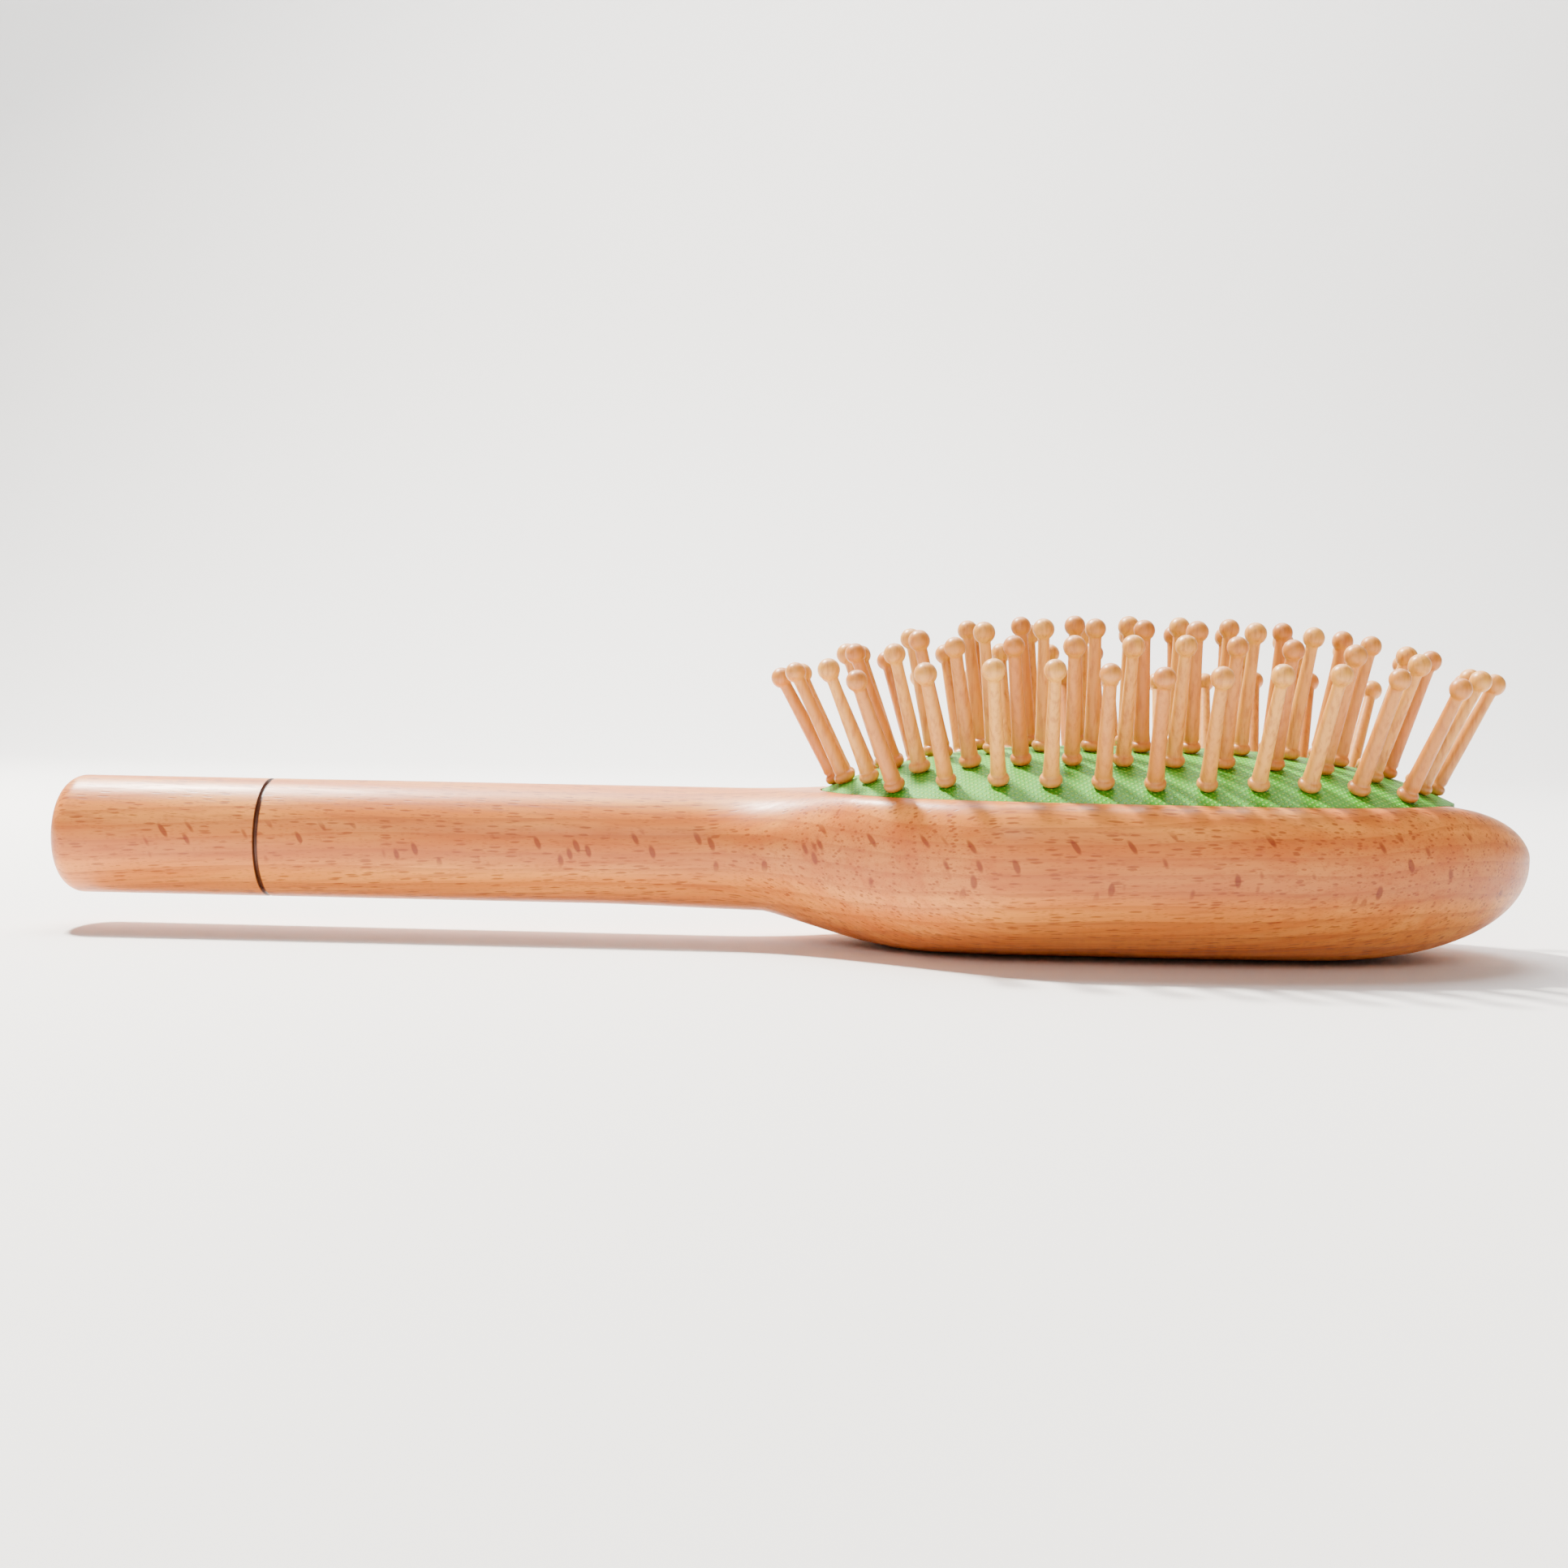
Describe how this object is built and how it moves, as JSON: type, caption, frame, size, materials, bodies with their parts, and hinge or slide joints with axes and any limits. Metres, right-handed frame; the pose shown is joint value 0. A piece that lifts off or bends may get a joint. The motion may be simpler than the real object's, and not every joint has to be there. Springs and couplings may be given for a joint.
{
  "type": "cushion hair brush",
  "caption": "Oval wooden brush with a round handle and a domed rubber cushion holding rows of ball-tipped wooden pins that press in together.",
  "frame": {"origin": "on the surface under the middle of the brush's length and width, with the flat of the back at z = 0", "axes": "+X from the handle's end to the nose, +Y across the head, +Z the way the pins point"},
  "size_m": [0.225, 0.0678, 0.051],
  "materials": {
    "beech": "satin oiled beech",
    "rubber": "matt green rubber with a fine dotted weave",
    "pin_wood": "polished turned wood"
  },
  "bodies": {
    "handle_and_head": {"brush_body": "beech", "rubber_cushion": "rubber"},
    "crown_pins": {"pins_rows_3_5_place_05": "pin_wood", "pins_rows_3_5_place_06": "pin_wood", "pins_rows_3_5_place_07": "pin_wood", "pins_rows_3_5_place_08": "pin_wood", "pins_rows_3_5_place_09": "pin_wood", "pins_row_4_place_04": "pin_wood", "pins_row_4_place_05": "pin_wood", "pins_row_4_place_06": "pin_wood", "pins_row_4_place_07": "pin_wood", "pins_row_4_place_08": "pin_wood", "pins_row_4_place_09": "pin_wood", "pins_row_4_place_10": "pin_wood"},
    "inner_pins": {"pins_rows_2_6_place_05": "pin_wood", "pins_rows_2_6_place_06": "pin_wood", "pins_rows_2_6_place_07": "pin_wood", "pins_rows_2_6_place_08": "pin_wood", "pins_rows_3_5_place_03": "pin_wood", "pins_rows_3_5_place_04": "pin_wood", "pins_rows_3_5_place_10": "pin_wood", "pins_rows_3_5_place_11": "pin_wood", "pins_row_4_place_03": "pin_wood", "pins_row_4_place_11": "pin_wood"},
    "middle_pins": {"pins_rows_2_6_place_03": "pin_wood", "pins_rows_2_6_place_04": "pin_wood", "pins_rows_2_6_place_09": "pin_wood", "pins_rows_2_6_place_10": "pin_wood", "pins_rows_3_5_place_02": "pin_wood", "pins_rows_3_5_place_12": "pin_wood", "pins_row_4_place_02": "pin_wood", "pins_row_4_place_12": "pin_wood"},
    "outer_pins": {"pins_rows_1_7_place_04": "pin_wood", "pins_rows_1_7_place_08": "pin_wood", "pins_rows_2_6_place_02": "pin_wood", "pins_rows_2_6_place_11": "pin_wood", "pins_row_4_place_13": "pin_wood"},
    "rim_pins": {"pins_rows_1_7_place_01": "pin_wood", "pins_rows_1_7_place_02": "pin_wood", "pins_rows_1_7_place_03": "pin_wood", "pins_rows_1_7_place_05": "pin_wood", "pins_rows_1_7_place_06": "pin_wood", "pins_rows_1_7_place_07": "pin_wood", "pins_rows_1_7_place_09": "pin_wood", "pins_rows_1_7_place_10": "pin_wood", "pins_rows_1_7_place_11": "pin_wood", "pins_rows_2_6_place_01": "pin_wood", "pins_rows_2_6_place_12": "pin_wood", "pins_rows_3_5_place_01": "pin_wood", "pins_rows_3_5_place_13": "pin_wood", "pins_row_4_place_01": "pin_wood"}
  },
  "joints": [
    {"name": "press_crown_pins", "type": "slide", "parent": "handle_and_head", "child": "crown_pins", "axis": [0, 0, -1], "range_m": [0, 0.003], "stiffness_N_per_m": 2500, "deforming": ["rubber_cushion"]},
    {"name": "press_inner_pins", "type": "slide", "parent": "handle_and_head", "child": "inner_pins", "axis": [0, 0, -1], "range_m": [0, 0.00235]},
    {"name": "press_middle_pins", "type": "slide", "parent": "handle_and_head", "child": "middle_pins", "axis": [0, 0, -1], "range_m": [0, 0.00184]},
    {"name": "press_outer_pins", "type": "slide", "parent": "handle_and_head", "child": "outer_pins", "axis": [0, 0, -1], "range_m": [0, 0.00117]},
    {"name": "press_rim_pins", "type": "slide", "parent": "handle_and_head", "child": "rim_pins", "axis": [0, 0, -1], "range_m": [0, 0.000731]}
  ],
  "couplings": [
    {"joint": "press_inner_pins", "follows": "press_crown_pins", "ratio": 0.782},
    {"joint": "press_middle_pins", "follows": "press_crown_pins", "ratio": 0.6139},
    {"joint": "press_outer_pins", "follows": "press_crown_pins", "ratio": 0.3889},
    {"joint": "press_rim_pins", "follows": "press_crown_pins", "ratio": 0.2432}
  ]
}
